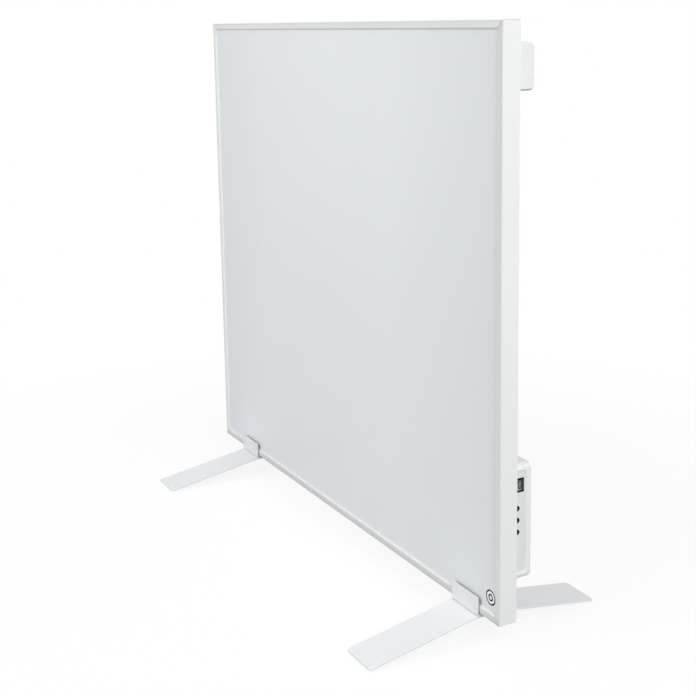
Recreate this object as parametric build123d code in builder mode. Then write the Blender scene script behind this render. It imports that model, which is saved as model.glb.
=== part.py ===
from build123d import *
from math import cos, radians, sqrt, tan
import os

os.makedirs("parts", exist_ok=True)

# Infrared panel heater: a framed radiating panel that stands on two sheet-metal feet.
# Millimetres. +X runs along the panel to the right, the radiating face looks towards -Y, +Z is up.
# The origin is on the floor, below the middle of the panel.

# Panel and its mitred frame
panel_width = 700.0
panel_height = 600.0
panel_depth = 21.0
frame_wall = 1.5
frame_edge_radius = 0.45
lip_width = 8.5
lip_thickness = 2.2
lip_bevel = 1.3
rail_width = 10.0
flange_width = 14.0
mitre_gap = 0.6
key_leg = 22.0
key_clearance = 0.2

# Layers of the panel, from the front
face_sheet = 1.5
face_slot_play = 0.2
face_edge_play = 0.5
film_thickness = 0.6
film_margin = 1.0
busbar_width = 12.0
busbar_thickness = 0.4
busbar_end_margin = 12.0
tail_width = 8.0
foil_thickness = 0.3
back_sheet = 1.0
back_inset = 0.6
back_play = 0.3

# Back panel screws
back_screw_inset = 6.0
back_screw_end = 28.0
back_screw_columns = 5
back_screw_rows = 4
back_screw_length = 5.0

# Feet
foot_reach = 129.5
foot_width = 48.0
foot_slope = 9.4
foot_tip_radius = 4.0
foot_bend_radius = 4.0
right_foot_inset = 59.0
left_foot_inset = 91.5
leg_sheet = 2.0
sheet_edge_radius = 0.4
tip_lift = 1.5
saddle_sheet = 1.5
liner_thickness = 1.5
liner_inset = 1.5
tab_rise = 18.0
tab_radius = 2.5
foot_screw_pitch = 24.0
nut_plate_thickness = 3.0
nut_plate_width = 9.0
nut_plate_length = 36.0
pad_length = 14.0
pad_width = 24.0
pad_inset = 7.0

# Stand-off from the frame's rear to the wall: the control box and the hangers share it
wall_standoff = 31.7

# Control box
box_inset = 17.5
box_lift = 34.6
box_width = 120.0
box_height = 123.9
box_wall = 2.2
box_corner_radius = 6.0
box_edge_radius = 3.5
box_fit = 0.3
base_sheet = 2.0

# Recessed strip on the control box's side, with what it carries
control_depth = 14.3
recess_width = 21.0
recess_margin = 7.0
recess_depth = 1.2
recess_bevel = 1.1
recess_radius = 2.5
fascia_sheet = 0.8
fascia_fit = 0.1
side_web = 1.0
window_size = 15.0
window_drop = 15.4
button_drop = 39.8
button_side_step = 0.8
button_pitch = 12.7
button_radius = 2.75
button_proud = 0.9
button_travel = 0.8
button_fit = 0.1
collar_radius = 4.2
collar_thickness = 1.0
collar_gap = 0.1
stem_radius = 1.5
stem_engagement = 1.2
switch_size = 6.2
switch_height = 3.5
press_clearance = 0.5
led_radius = 1.0
led_side_step = 5.5
led_drop_step = 2.0
circuit_board = 1.6
control_board_width = 17.0
module_height = 9.0
receiver_height = 3.6
receiver_width = 6.0
display_gap = 0.3
sensor_radius = 1.5
sensor_reach = 3.6
sensor_drop = 20.0
vent_length = 14.0
vent_width = 2.0
vent_pitch = 4.5

# Inside the control box
controls_zone = 12.0
post_inset = 8.0
post_radius = 3.5
post_height = 8.0
post_gap = 0.2
standoff_height = 5.0
standoff_radius = 2.5
standoff_inset = 4.0
base_screw_inset = 13.0
board_low_zone = 15.0
board_high_zone = 18.0
board_side_gap = 2.0
relay_width = 15.5
relay_length = 19.0
relay_height = 15.0
transformer_width = 22.0
transformer_length = 26.0
transformer_height = 17.0
capacitor_width = 26.0
capacitor_length = 10.0
capacitor_height = 18.0
terminal_width = 24.0
terminal_height = 11.0
terminal_depth = 13.0
lead_radius = 1.1
lead_pitch = 3.4
lead_engagement = 6.0
lead_hole_radius = 6.0
grommet_neck_radius = 5.0
grommet_flange_radius = 6.6
grommet_flange = 1.0
grommet_bore_radius = 3.1
cutout_length = 22.0
cutout_height = 9.0
cutout_depth = 4.5
cutout_offset = 70.0

# Cable gland below the control box
gland_bore_radius = 3.8
gland_thread_radius = 8.0
gland_flange_radius = 11.0
gland_flange_height = 4.0
gland_dome_length = 15.0
gland_inner_length = 8.0
gland_nut_height = 5.0
gland_fit = 0.15
gland_post_gap = 2.0

# Wall hangers
hanger_inset = 20.0
hanger_drop = 21.0
hanger_width = 60.0
hanger_height = 46.2
hanger_wall = 2.5
hanger_radius = 6.0
hanger_edge_radius = 1.4
hanger_boss_radius = 4.0
hanger_boss_pitch = 44.0
hanger_boss_depth = 12.0
keyhole_head_radius = 5.0
keyhole_slot_radius = 2.5
keyhole_rise = 9.0
keyhole_drop = 5.0

# Screws: head radius, head height and shank radius
small_head = (2.2, 1.4)
small_shank = 1.1
medium_head = (3.0, 1.8)
medium_shank = 1.5
flat_head = (3.4, 1.1)
large_head = (4.0, 2.4)
large_shank = 2.0
thread_clearance = 0.05
hole_clearance = 0.25
recess_share = 0.5
board_screw_length = 5.0

# Levels and planes that follow from the sizes above
slope_rise = tan(radians(foot_slope))
foot_tip_y = panel_depth / 2 + foot_reach
foot_root_y = panel_depth / 2 + liner_thickness + saddle_sheet
tip_top = tip_lift + leg_sheet / cos(radians(foot_slope))
leg_top = tip_top + (foot_tip_y - foot_root_y) * slope_rise
saddle_top = leg_top + saddle_sheet
panel_bottom = saddle_top + liner_thickness
panel_top = panel_bottom + panel_height
panel_mid = panel_bottom + panel_height / 2
half_width = panel_width / 2
front_y = -panel_depth / 2
rear_y = panel_depth / 2
wall_y = rear_y + wall_standoff

slot_front = lip_thickness
slot_back = slot_front + face_sheet + face_slot_play
flange_rear = panel_depth - back_inset - back_sheet
flange_front = flange_rear - frame_wall
chamber_front = slot_back + frame_wall
chamber_depth = flange_front - chamber_front
chamber_width = rail_width - 2 * frame_wall
face_back_y = front_y + slot_front + face_sheet
film_back_y = face_back_y + film_thickness
busbar_back_y = film_back_y + busbar_thickness
foil_back_y = busbar_back_y + foil_thickness
flange_front_y = front_y + flange_front
flange_rear_y = front_y + flange_rear
back_y = rear_y - back_inset

box_right = half_width - box_inset
box_left = box_right - box_width
box_bottom = panel_bottom + box_lift
box_top = box_bottom + box_height
box_mid_z = (box_bottom + box_top) / 2
side_wall = recess_depth + fascia_sheet + side_web
cavity_left = box_left + box_wall
cavity_right = box_right - side_wall
cavity_rear = wall_y - box_wall
cavity_radius = box_corner_radius - box_wall
base_left = cavity_left + box_fit
base_right = cavity_right - box_fit
base_bottom = box_bottom + box_wall + box_fit
base_top = box_top - box_wall - box_fit
base_mid_x = (base_left + base_right) / 2
base_mid_z = (base_bottom + base_top) / 2
base_rear = back_y + base_sheet


def upright(y):
    # Plane at depth y: X to the right, Z up, looking out towards the front
    return Plane.XZ.offset(-y)


def sideways(x):
    # Plane at x: Y and Z, looking out to the right
    return Plane.YZ.offset(x)


def level(z):
    return Plane.XY.offset(z)


def spread(length, count):
    return [length * (i / (count - 1) - 0.5) for i in range(count)]


def corners(mid, width, height):
    return [(mid[0] + sx * width / 2, mid[1] + sz * height / 2) for sx in (-1, 1) for sz in (-1, 1)]


def slab(plane, mid, width, height, thickness, radius=0.0):
    # Flat piece on a plane, its thickness standing up from the plane's outer side
    with BuildPart() as piece:
        with BuildSketch(plane):
            with Locations(mid):
                if radius:
                    RectangleRounded(width, height, radius)
                else:
                    Rectangle(width, height)
        extrude(amount=thickness)
    return piece


def outline_edge(edge):
    # True for the edges that run round a bent sheet, false for bend lines and for corners through it
    return edge.tangent_at(0.5).cross(Vector(1, 0, 0)).length > 0.5


def screws(plane, points, head, shank_radius, length, side=1):
    # Cross-recessed screws seated on a plane; their heads stand on the side given
    head_radius, head_height = head
    with BuildPart() as group:
        with BuildSketch(plane):
            with Locations(*points):
                Circle(head_radius)
        extrude(amount=side * head_height)
        crown = group.edges().group_by(Axis(plane.origin, plane.z_dir * side))[-1]
        fillet(crown, radius=head_height * recess_share)
        with BuildSketch(plane):
            with Locations(*points):
                Circle(shank_radius)
        extrude(amount=-side * length)
        with BuildSketch(plane.offset(side * head_height)):
            with Locations(*points):
                Rectangle(head_radius, head_radius / 5)
                Rectangle(head_radius / 5, head_radius)
        extrude(amount=-side * head_height * recess_share, mode=Mode.SUBTRACT)
    return group


# ---- Frame ----------------------------------------------------------------------------------

feet = {"right": half_width - right_foot_inset, "left": left_foot_inset - half_width}
foot_screw_points = {side: [(x + step, 0) for step in spread(foot_screw_pitch, 2)]
                     for side, x in feet.items()}

back_rows = (panel_bottom + back_screw_inset, panel_top - back_screw_inset)
back_columns = (back_screw_inset - half_width, half_width - back_screw_inset)
side_rows = spread(panel_height - 2 * back_screw_end, back_screw_rows)
back_screw_points = [(x, z) for x in spread(panel_width - 2 * back_screw_end, back_screw_columns)
                     for z in back_rows]
back_screw_points += [(x, panel_mid + z) for x in back_columns for z in side_rows]

# Each bar: the middle of its outer front edge, the way in towards the panel, its full length
bars = {
    "frame_top": ((0, front_y, panel_top), (0, 0, -1), panel_width),
    "frame_bottom": ((0, front_y, panel_bottom), (0, 0, 1), panel_width),
    "frame_left": ((-half_width, front_y, panel_mid), (1, 0, 0), panel_height),
    "frame_right": ((half_width, front_y, panel_mid), (-1, 0, 0), panel_height),
}
# Section of a bar: distance in from the outer edge, then depth behind the front
bar_section = [
    (0, 0),
    (lip_width - lip_bevel, 0),
    (lip_width, lip_bevel),
    (lip_width, slot_front),
    (frame_wall, slot_front),
    (frame_wall, slot_back),
    (rail_width, slot_back),
    (rail_width, flange_front),
    (flange_width, flange_front),
    (flange_width, flange_rear),
    (frame_wall, flange_rear),
    (frame_wall, panel_depth),
    (0, panel_depth),
]
mitre_setback = mitre_gap / sqrt(2)

for bar_name, (edge, inward, bar_length) in bars.items():
    along = Vector(inward).cross(Vector(0, 1, 0))
    outer_end = bar_length / 2 - mitre_setback
    with BuildPart() as bar:
        with BuildSketch(Plane(origin=edge, x_dir=inward, z_dir=along)) as bar_sketch:
            with BuildLine():
                Polyline(*bar_section, close=True)
            make_face()
            outer_corners = bar_sketch.vertices().group_by(Axis.X)[0]
            fillet(outer_corners, radius=min(frame_edge_radius, 0.45 * frame_wall))
            with Locations((frame_wall + chamber_width / 2, chamber_front + chamber_depth / 2)):
                Rectangle(chamber_width, chamber_depth, mode=Mode.SUBTRACT)
        extrude(amount=bar_length / 2, both=True)
        with BuildSketch(Plane(origin=edge, x_dir=inward, z_dir=(0, 1, 0))):
            with BuildLine():
                Polyline(
                    (0, -outer_end),
                    (0, outer_end),
                    (flange_width, outer_end - flange_width),
                    (flange_width, flange_width - outer_end),
                    close=True,
                )
            make_face()
        extrude(amount=panel_depth, mode=Mode.INTERSECT)
        with BuildSketch(upright(flange_rear_y)):
            with Locations(*back_screw_points):
                Circle(medium_shank + thread_clearance)
        extrude(amount=frame_wall, mode=Mode.SUBTRACT)
        if bar_name == "frame_bottom":
            with BuildSketch(level(panel_bottom)):
                for points in foot_screw_points.values():
                    with Locations(*points):
                        Circle(large_shank + hole_clearance)
            extrude(amount=frame_wall, mode=Mode.SUBTRACT)
    bar.part.label = bar_name
    export_step(bar.part, f"parts/{bar_name}.step")

key_outer_x = half_width - frame_wall - key_clearance
key_outer_z = panel_height / 2 - frame_wall - key_clearance
key_width = chamber_width - 2 * key_clearance
key_rear_y = flange_front_y - key_clearance
for row_name, sz in (("top", 1), ("bottom", -1)):
    key_edge_z = panel_mid + sz * key_outer_z
    for column_name, sx in (("left", -1), ("right", 1)):
        key_name = f"corner_key_{row_name}_{column_name}"
        with BuildPart() as corner_key:
            with BuildSketch(upright(key_rear_y)):
                with Locations((sx * (key_outer_x - key_leg / 2), key_edge_z - sz * key_width / 2)):
                    Rectangle(key_leg, key_width)
                with Locations((sx * (key_outer_x - key_width / 2), key_edge_z - sz * key_leg / 2)):
                    Rectangle(key_width, key_leg)
            extrude(amount=chamber_depth - 2 * key_clearance)
        corner_key.part.label = key_name
        export_step(corner_key.part, f"parts/{key_name}.step")

# ---- Layers of the panel --------------------------------------------------------------------

panel_centre = (0, panel_mid)
face_width = panel_width - 2 * (frame_wall + face_edge_play)
face_height = panel_height - 2 * (frame_wall + face_edge_play)
front_panel = slab(upright(face_back_y), panel_centre, face_width, face_height, face_sheet)
front_panel.part.label = "front_panel"
export_step(front_panel.part, "parts/front_panel.step")

film_width = panel_width - 2 * (rail_width + film_margin)
film_height = panel_height - 2 * (rail_width + film_margin)
heating_film = slab(upright(film_back_y), panel_centre, film_width, film_height, film_thickness)
heating_film.part.label = "heating_film"
export_step(heating_film.part, "parts/heating_film.step")

# The two leads leave the film straight to the rear, into the terminal block in the control box
lead_x = base_mid_x
lead_z = base_top - board_high_zone / 2
lead_xs = {"left": lead_x - lead_pitch / 2, "right": lead_x + lead_pitch / 2}
busbar_x = film_width / 2 - busbar_width / 2
busbar_height = film_height - 2 * busbar_end_margin
for side, sx in (("left", -1), ("right", 1)):
    # One copper strip: along the film's edge, with a tail that runs to its lead
    tail_end = lead_xs[side] - sx * lead_radius
    with BuildPart() as busbar:
        with BuildSketch(upright(busbar_back_y)):
            with Locations((sx * busbar_x, panel_mid)):
                Rectangle(busbar_width, busbar_height)
            with Locations(((sx * busbar_x + tail_end) / 2, lead_z)):
                Rectangle(abs(sx * busbar_x - tail_end), tail_width)
        extrude(amount=busbar_thickness)
    busbar.part.label = f"busbar_{side}"
    export_step(busbar.part, f"parts/busbar_{side}.step")

cutout_x = lead_x - cutout_offset
with BuildPart() as reflector_foil:
    with BuildSketch(upright(foil_back_y)):
        with Locations(panel_centre):
            Rectangle(film_width, film_height)
        with Locations((lead_x, lead_z)):
            Circle(lead_hole_radius, mode=Mode.SUBTRACT)
    extrude(amount=foil_thickness)
reflector_foil.part.label = "reflector_foil"
export_step(reflector_foil.part, "parts/reflector_foil.step")

insulation_thickness = flange_front_y - foil_back_y
with BuildPart() as insulation_board:
    with BuildSketch(upright(flange_front_y)):
        with Locations(panel_centre):
            Rectangle(film_width, film_height)
        with Locations((lead_x, lead_z)):
            Circle(lead_hole_radius, mode=Mode.SUBTRACT)
        with Locations((cutout_x, lead_z)):
            Rectangle(cutout_length + 2 * box_fit, cutout_height + 2 * box_fit, mode=Mode.SUBTRACT)
    extrude(amount=insulation_thickness)
insulation_board.part.label = "insulation_board"
export_step(insulation_board.part, "parts/insulation_board.step")

thermal_cutout = slab(upright(foil_back_y + cutout_depth), (cutout_x, lead_z), cutout_length,
                      cutout_height, cutout_depth, radius=cutout_height / 4)
thermal_cutout.part.label = "thermal_cutout"
export_step(thermal_cutout.part, "parts/thermal_cutout.step")

board_left = base_left + board_side_gap
board_right = cavity_right - controls_zone - board_side_gap
board_bottom = base_bottom + board_low_zone
board_top = base_top - board_high_zone
board_mid = ((board_left + board_right) / 2, (board_bottom + board_top) / 2)
board_width = board_right - board_left
board_height = board_top - board_bottom
standoff_points = corners(board_mid, board_width - 2 * standoff_inset, board_height - 2 * standoff_inset)
board_front = base_rear + standoff_height
board_rear = board_front + circuit_board
base_screw_points = corners(board_mid, board_width - 2 * base_screw_inset,
                            board_height - 2 * base_screw_inset)
hanger_x = half_width - hanger_inset - hanger_width / 2
hanger_mid_z = panel_top - hanger_drop - hanger_height / 2
hanger_screw_points = [(sx * hanger_x + step, hanger_mid_z) for sx in (-1, 1)
                       for step in spread(hanger_boss_pitch, 2)]
back_edge = frame_wall + back_play
with BuildPart() as back_panel:
    with BuildSketch(upright(back_y)):
        with Locations(panel_centre):
            Rectangle(panel_width - 2 * back_edge, panel_height - 2 * back_edge)
        with Locations(*back_screw_points, *hanger_screw_points):
            Circle(medium_shank + hole_clearance, mode=Mode.SUBTRACT)
        with Locations(*base_screw_points):
            Circle(medium_shank + thread_clearance, mode=Mode.SUBTRACT)
        with Locations((lead_x, lead_z)):
            Circle(grommet_neck_radius, mode=Mode.SUBTRACT)
    extrude(amount=back_sheet)
back_panel.part.label = "back_panel"
export_step(back_panel.part, "parts/back_panel.step")

back_panel_screws = screws(upright(back_y), back_screw_points, medium_head, medium_shank,
                           back_screw_length, side=-1)
back_panel_screws.part.label = "back_panel_screws"
export_step(back_panel_screws.part, "parts/back_panel_screws.step")

# ---- Feet -----------------------------------------------------------------------------------

liner_top = panel_bottom + tab_rise - liner_inset
saddle_inner_y = panel_depth / 2 + liner_thickness
over_tip = leg_sheet
pad_far_y = foot_tip_y - pad_inset
pad_near_y = pad_far_y - pad_length
for side, foot_x in feet.items():
    with BuildPart() as foot_leg:
        with BuildSketch(sideways(foot_x)):
            with BuildLine():
                FilletPolyline(
                    (-foot_tip_y - over_tip, tip_top - over_tip * slope_rise),
                    (-foot_root_y, leg_top),
                    (foot_root_y, leg_top),
                    (foot_tip_y + over_tip, tip_top - over_tip * slope_rise),
                    radius=foot_bend_radius,
                )
                offset(amount=leg_sheet, side=Side.RIGHT)
            make_face()
        extrude(amount=foot_width / 2, both=True)
        with BuildSketch(Plane.XY):
            with Locations((foot_x, 0)):
                RectangleRounded(foot_width, 2 * foot_tip_y, foot_tip_radius)
        extrude(amount=panel_bottom, mode=Mode.INTERSECT)
        fillet(foot_leg.edges().filter_by(outline_edge), radius=sheet_edge_radius)
        with BuildSketch(level(leg_top)):
            with Locations(*foot_screw_points[side]):
                Circle(large_shank + hole_clearance)
        extrude(amount=-leg_sheet, mode=Mode.SUBTRACT)
    foot_leg.part.label = f"foot_leg_{side}"
    export_step(foot_leg.part, f"parts/foot_leg_{side}.step")

    with BuildPart() as foot_saddle:
        with BuildSketch(sideways(foot_x)):
            with BuildLine():
                FilletPolyline(
                    (-saddle_inner_y, panel_bottom + tab_rise),
                    (-saddle_inner_y, saddle_top),
                    (saddle_inner_y, saddle_top),
                    (saddle_inner_y, panel_bottom + tab_rise),
                    radius=liner_thickness,
                )
                offset(amount=saddle_sheet, side=Side.RIGHT)
            make_face()
        extrude(amount=foot_width / 2, both=True)
        fillet(foot_saddle.edges().filter_by(Axis.Y).group_by(Axis.Z)[-1], radius=tab_radius)
        fillet(foot_saddle.edges().filter_by(outline_edge), radius=sheet_edge_radius)
        with BuildSketch(level(saddle_top)):
            with Locations(*foot_screw_points[side]):
                Circle(large_shank + hole_clearance)
        extrude(amount=-saddle_sheet, mode=Mode.SUBTRACT)
    foot_saddle.part.label = f"foot_saddle_{side}"
    export_step(foot_saddle.part, f"parts/foot_saddle_{side}.step")

    with BuildPart() as saddle_liner:
        with BuildSketch(sideways(foot_x)):
            with BuildLine():
                Polyline(
                    (-panel_depth / 2, liner_top),
                    (-panel_depth / 2, panel_bottom),
                    (panel_depth / 2, panel_bottom),
                    (panel_depth / 2, liner_top),
                )
                offset(amount=liner_thickness, side=Side.RIGHT)
            make_face()
        extrude(amount=foot_width / 2 - liner_inset, both=True)
        with BuildSketch(level(panel_bottom)):
            with Locations(*foot_screw_points[side]):
                Circle(large_shank + hole_clearance)
        extrude(amount=-liner_thickness, mode=Mode.SUBTRACT)
    saddle_liner.part.label = f"saddle_liner_{side}"
    export_step(saddle_liner.part, f"parts/saddle_liner_{side}.step")

    for row_name, sy in (("front", -1), ("rear", 1)):
        with BuildPart() as foot_pad:
            with BuildSketch(sideways(foot_x)):
                with BuildLine():
                    Polyline(
                        (sy * pad_near_y, 0),
                        (sy * pad_far_y, 0),
                        (sy * pad_far_y, tip_lift + (foot_tip_y - pad_far_y) * slope_rise),
                        (sy * pad_near_y, tip_lift + (foot_tip_y - pad_near_y) * slope_rise),
                        close=True,
                    )
                make_face()
            extrude(amount=pad_width / 2, both=True)
            fillet(foot_pad.edges().filter_by(Axis.Z), radius=tip_lift)
        foot_pad.part.label = f"foot_pad_{side}_{row_name}"
        export_step(foot_pad.part, f"parts/foot_pad_{side}_{row_name}.step")

with BuildPart() as nut_plates:
    with BuildSketch(level(panel_bottom + frame_wall)):
        for side, foot_x in feet.items():
            with Locations((foot_x, 0)):
                Rectangle(nut_plate_length, nut_plate_width)
            with Locations(*foot_screw_points[side]):
                Circle(large_shank + thread_clearance, mode=Mode.SUBTRACT)
    extrude(amount=nut_plate_thickness)
nut_plates.part.label = "nut_plates"
export_step(nut_plates.part, "parts/nut_plates.step")

foot_screw_length = leg_sheet + saddle_sheet + liner_thickness + frame_wall + nut_plate_thickness
all_foot_screws = [point for points in foot_screw_points.values() for point in points]
foot_screws = screws(level(leg_top - leg_sheet), all_foot_screws, large_head, large_shank,
                     foot_screw_length, side=-1)
foot_screws.part.label = "foot_screws"
export_step(foot_screws.part, "parts/foot_screws.step")

# ---- Control box ----------------------------------------------------------------------------

control_y = rear_y + control_depth
recess_height = box_height - 2 * recess_margin
recess_top = box_top - recess_margin
fascia_x = box_right - recess_depth
pocket_x = fascia_x - fascia_sheet
fascia_width = recess_width - 2 * recess_bevel
fascia_height = recess_height - 2 * recess_bevel
window_point = (control_y, recess_top - window_drop)
button_points = {name: (control_y - button_side_step, recess_top - button_drop - i * button_pitch)
                 for i, name in enumerate(("power", "plus", "minus"))}
led_point = (control_y + led_side_step, button_points["plus"][1] - led_drop_step)
collar_x = cavity_right - collar_gap
switch_top_x = collar_x - collar_thickness - button_travel - press_clearance
board_x = switch_top_x - switch_height
sensor_point = (control_y, button_points["minus"][1] - sensor_drop)
board_boss_points = [(control_y, box_mid_z + sz * (fascia_height / 2 - standoff_radius)) for sz in (-1, 1)]

post_right = cavity_right - controls_zone - post_radius
post_left = base_left + post_inset
post_mid = ((post_left + post_right) / 2, base_mid_z)
post_points = corners(post_mid, post_right - post_left, base_top - base_bottom - 2 * post_inset)
post_top = base_rear + post_height
boss_start = post_top + post_gap
counterbore_radius = medium_head[0] + hole_clearance
counterbore_depth = medium_head[1] + hole_clearance
gland_x = post_left + post_radius + gland_post_gap + gland_flange_radius
gland_y = (base_rear + cavity_rear) / 2

with BuildPart() as box_cover:
    with BuildSketch(upright(wall_y)):
        with Locations((box_right - box_width / 2, box_mid_z)):
            RectangleRounded(box_width, box_height, box_corner_radius)
    extrude(amount=wall_y - back_y)
    fillet(box_cover.faces().sort_by(Axis.Y)[-1].edges(), radius=box_edge_radius)
    with BuildSketch(upright(cavity_rear)):
        with Locations(((cavity_left + cavity_right) / 2, box_mid_z)):
            RectangleRounded(cavity_right - cavity_left, box_height - 2 * box_wall, cavity_radius)
    extrude(amount=cavity_rear - back_y, mode=Mode.SUBTRACT)
    # Screw bosses that come down on the base's posts
    with BuildSketch(upright(cavity_rear)):
        with Locations(*post_points):
            Circle(post_radius)
    extrude(amount=cavity_rear - boss_start)
    with BuildSketch(upright(wall_y)):
        with Locations(*post_points):
            Circle(medium_shank + hole_clearance)
    extrude(amount=wall_y - boss_start, mode=Mode.SUBTRACT)
    with BuildSketch(upright(wall_y)):
        with Locations(*post_points):
            Circle(counterbore_radius)
    extrude(amount=counterbore_depth, mode=Mode.SUBTRACT)
    # Bevelled recess in the side, with its openings
    with BuildSketch(sideways(box_right)):
        with Locations((control_y, box_mid_z)):
            RectangleRounded(fascia_width, fascia_height, recess_radius)
    extrude(amount=-recess_depth - fascia_sheet, mode=Mode.SUBTRACT)
    side_face = box_cover.faces().filter_by(Axis.X).sort_by(Axis.X)[-1]
    chamfer(side_face.inner_wires()[0].edges(), length=recess_bevel)
    with BuildSketch(sideways(pocket_x)):
        with Locations(window_point):
            Rectangle(window_size + 2 * fascia_fit, window_size + 2 * fascia_fit)
        with Locations(*button_points.values()):
            Circle(button_radius + button_fit)
        with Locations(led_point):
            Circle(led_radius + fascia_fit)
    extrude(amount=-side_web, mode=Mode.SUBTRACT)
    # Bosses for the button board on the side wall
    with BuildSketch(sideways(cavity_right)):
        with Locations(*board_boss_points):
            Circle(standoff_radius)
    extrude(amount=board_x - cavity_right)
    with BuildSketch(sideways(board_x)):
        with Locations(*board_boss_points):
            Circle(small_shank + thread_clearance)
    extrude(amount=switch_height, mode=Mode.SUBTRACT)
    # Outlet for the gland, and air slots below the temperature sensor
    with BuildSketch(level(box_bottom)):
        with Locations((gland_x, gland_y)):
            Circle(gland_thread_radius + gland_fit)
        with Locations(*[(cavity_right - vent_length, control_y + step)
                         for step in spread(2 * vent_pitch, 3)]):
            SlotOverall(vent_length, vent_width)
    extrude(amount=box_wall, mode=Mode.SUBTRACT)
box_cover.part.label = "box_cover"
export_step(box_cover.part, "parts/box_cover.step")

with BuildPart() as box_base:
    with BuildSketch(upright(base_rear)):
        with Locations((base_mid_x, base_mid_z)):
            RectangleRounded(base_right - base_left, base_top - base_bottom, cavity_radius)
        with Locations(*base_screw_points):
            Circle(medium_shank + hole_clearance, mode=Mode.SUBTRACT)
        with Locations((lead_x, lead_z)):
            Circle(grommet_flange_radius + box_fit, mode=Mode.SUBTRACT)
    extrude(amount=base_sheet)
    with BuildSketch(upright(post_top)):
        with Locations(*post_points):
            Circle(post_radius)
            Circle(medium_shank + thread_clearance, mode=Mode.SUBTRACT)
    extrude(amount=post_height)
    with BuildSketch(upright(board_front)):
        with Locations(*standoff_points):
            Circle(standoff_radius)
            Circle(small_shank + thread_clearance, mode=Mode.SUBTRACT)
    extrude(amount=standoff_height)
box_base.part.label = "box_base"
export_step(box_base.part, "parts/box_base.step")

box_base_screws = screws(upright(base_rear), base_screw_points, medium_head, medium_shank,
                         base_sheet + back_sheet, side=-1)
box_base_screws.part.label = "box_base_screws"
export_step(box_base_screws.part, "parts/box_base_screws.step")

cover_screw_seat = wall_y - counterbore_depth
box_cover_screws = screws(upright(cover_screw_seat), post_points, medium_head, medium_shank,
                          cover_screw_seat - base_rear - frame_wall, side=-1)
box_cover_screws.part.label = "box_cover_screws"
export_step(box_cover_screws.part, "parts/box_cover_screws.step")

# ---- Control strip --------------------------------------------------------------------------

with BuildPart() as control_fascia:
    with BuildSketch(sideways(pocket_x)):
        with Locations((control_y, box_mid_z)):
            RectangleRounded(fascia_width - 2 * fascia_fit, fascia_height - 2 * fascia_fit,
                             recess_radius - fascia_fit)
        with Locations(window_point):
            Rectangle(window_size + 2 * fascia_fit, window_size + 2 * fascia_fit, mode=Mode.SUBTRACT)
        with Locations(*button_points.values()):
            Circle(button_radius + button_fit, mode=Mode.SUBTRACT)
        with Locations(led_point):
            Circle(led_radius + fascia_fit, mode=Mode.SUBTRACT)
    extrude(amount=fascia_sheet)
control_fascia.part.label = "control_fascia"
export_step(control_fascia.part, "parts/control_fascia.step")

display_window = slab(sideways(cavity_right), window_point, window_size, window_size,
                      side_web + fascia_sheet)
display_window.part.label = "display_window"
export_step(display_window.part, "parts/display_window.step")

with BuildPart() as control_board:
    with BuildSketch(sideways(board_x)):
        with Locations((control_y, box_mid_z)):
            Rectangle(control_board_width, fascia_height)
        with Locations(*board_boss_points):
            Circle(small_shank + hole_clearance, mode=Mode.SUBTRACT)
    extrude(amount=-circuit_board)
control_board.part.label = "control_board"
export_step(control_board.part, "parts/control_board.step")

control_screws = screws(sideways(board_x - circuit_board), board_boss_points, small_head,
                        small_shank, board_screw_length, side=-1)
power_screws = screws(upright(board_rear), standoff_points, small_head, small_shank,
                      board_screw_length, side=-1)
with BuildPart() as board_screws:
    add(control_screws.part)
    add(power_screws.part)
board_screws.part.label = "board_screws"
export_step(board_screws.part, "parts/board_screws.step")

module_top = window_point[1] + window_size / 2
display_module = slab(sideways(board_x), (control_y, module_top - module_height / 2), window_size,
                      module_height, cavity_right - display_gap - board_x)
display_module.part.label = "display_module"
export_step(display_module.part, "parts/display_module.step")

receiver_z = window_point[1] - window_size / 2 + receiver_height / 2
infrared_receiver = slab(sideways(board_x), (control_y, receiver_z), receiver_width, receiver_height,
                         cavity_right - display_gap - board_x)
infrared_receiver.part.label = "infrared_receiver"
export_step(infrared_receiver.part, "parts/infrared_receiver.step")

with BuildPart() as status_light:
    with BuildSketch(sideways(board_x)):
        with Locations(led_point):
            Circle(led_radius)
    extrude(amount=fascia_x - board_x)
    with BuildSketch(sideways(board_x)):
        with Locations(led_point):
            Circle(led_radius * 1.5)
    extrude(amount=switch_height)
status_light.part.label = "status_light"
export_step(status_light.part, "parts/status_light.step")

with BuildPart() as temperature_sensor:
    with BuildSketch(sideways(board_x)):
        with Locations(sensor_point):
            Circle(sensor_radius / 2)
    extrude(amount=sensor_reach)
    with Locations((board_x + sensor_reach, *sensor_point)):
        Sphere(sensor_radius)
temperature_sensor.part.label = "temperature_sensor"
export_step(temperature_sensor.part, "parts/temperature_sensor.step")

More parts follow.
